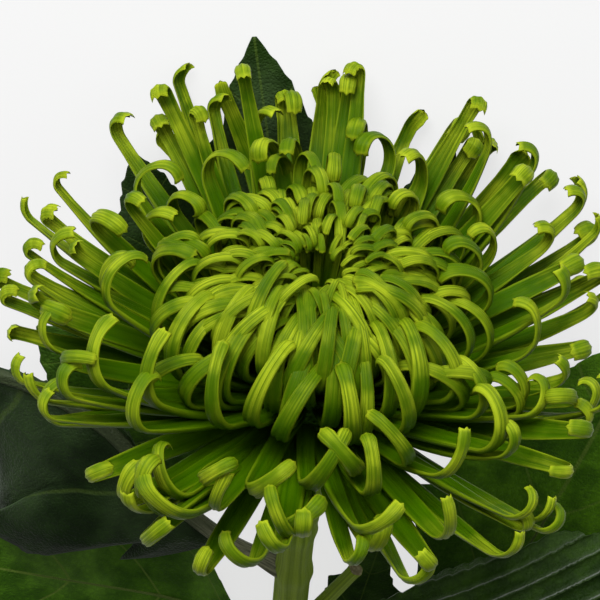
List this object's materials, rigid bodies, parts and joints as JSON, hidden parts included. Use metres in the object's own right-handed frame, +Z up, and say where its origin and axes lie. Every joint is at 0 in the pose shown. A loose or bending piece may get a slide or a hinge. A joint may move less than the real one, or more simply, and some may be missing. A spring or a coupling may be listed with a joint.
{
  "type": "green spider chrysanthemum, cut stem",
  "caption": "Cut spider chrysanthemum with hooked tubular florets, toothed leaves and a stem, lying on a flat surface.",
  "frame": {"origin": "on the surface that the flower lies on, below the middle of the bloom, on the underside of leaf_top", "axes": "+Z up from the surface, the bloom faces -Y and the stem runs away along +Y"},
  "size_m": [0.2261, 0.2992, 0.1286],
  "materials": {
    "ray_floret": "satin yellow-green petal, darker towards the root",
    "bract": "matt green bract with fine hairs",
    "stem": "matt grey-green ridged stem",
    "leaf": "dark green leaf, satin above"
  },
  "bodies": {
    "root": {"bloom": "ray_floret", "involucre": "bract", "stem": "stem", "leaf_left": "leaf", "leaf_lower_left": "leaf", "leaf_behind_left": "leaf", "leaf_top": "leaf", "leaf_upper_left": "leaf", "leaf_upper_right": "leaf", "leaf_right": "leaf", "leaf_lower_right": "leaf", "leaf_lower_centre": "leaf"}
  },
  "joints": []
}
